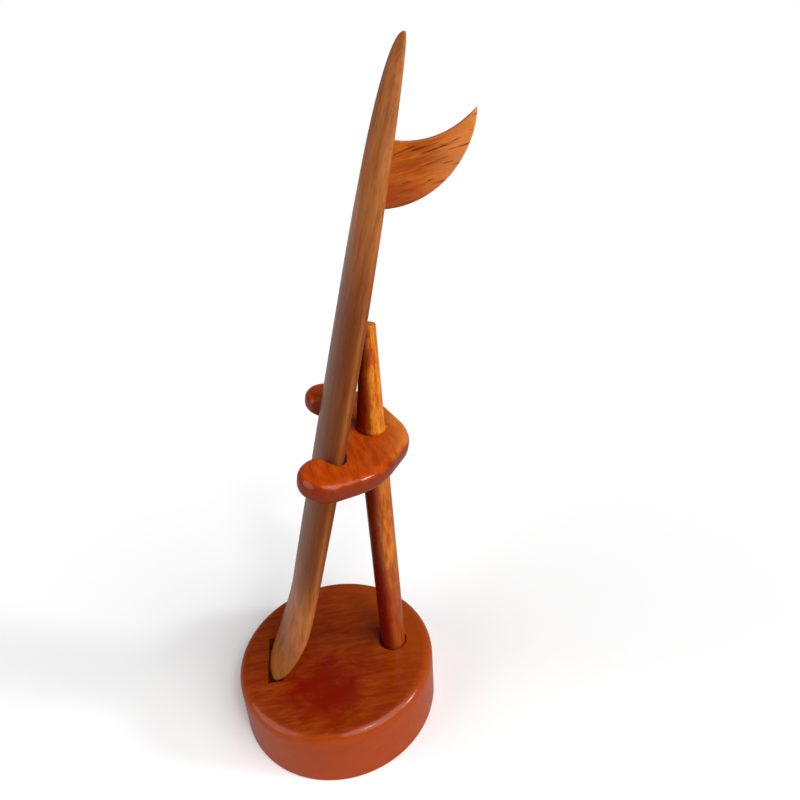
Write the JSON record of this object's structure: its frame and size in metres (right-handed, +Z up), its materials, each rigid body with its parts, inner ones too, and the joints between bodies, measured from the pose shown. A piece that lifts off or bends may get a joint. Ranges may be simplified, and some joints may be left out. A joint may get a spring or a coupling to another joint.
{
  "type": "model surfboard on stand",
  "caption": "Miniature wooden surfboard standing tail up in a round slotted base, held by a horned collar on a post and backed by a turned cone.",
  "frame": {"origin": "centre of the base's flat underside", "axes": "+Z up; +X from the nose slot to the post, the way the board leans; +Y to the left of that"},
  "size_m": [0.1633, 0.13, 0.3968],
  "materials": {
    "base_wood": "gloss varnish",
    "post_wood": "gloss varnish",
    "dowel_wood": "gloss varnish",
    "collar_wood": "gloss varnish",
    "cone_wood": "gloss varnish",
    "board_wood": "gloss varnish",
    "fin_wood": "gloss varnish"
  },
  "bodies": {
    "base": {"base": "base_wood"},
    "stand": {"post": "post_wood", "centre_dowel": "dowel_wood", "collar": "collar_wood", "cone": "cone_wood"},
    "board": {"board": "board_wood", "fin": "fin_wood"}
  },
  "joints": [
    {"name": "stand_turn", "type": "hinge", "parent": "base", "child": "stand", "pos_m": [0.0392, 0, 0.04], "axis": [-0.014, 0, 0.9999], "range_deg": [0, 8]},
    {"name": "board_lift", "type": "slide", "parent": "base", "child": "board", "axis": [0.2533, 0, 0.9674], "range_m": [0, 0.2]}
  ]
}
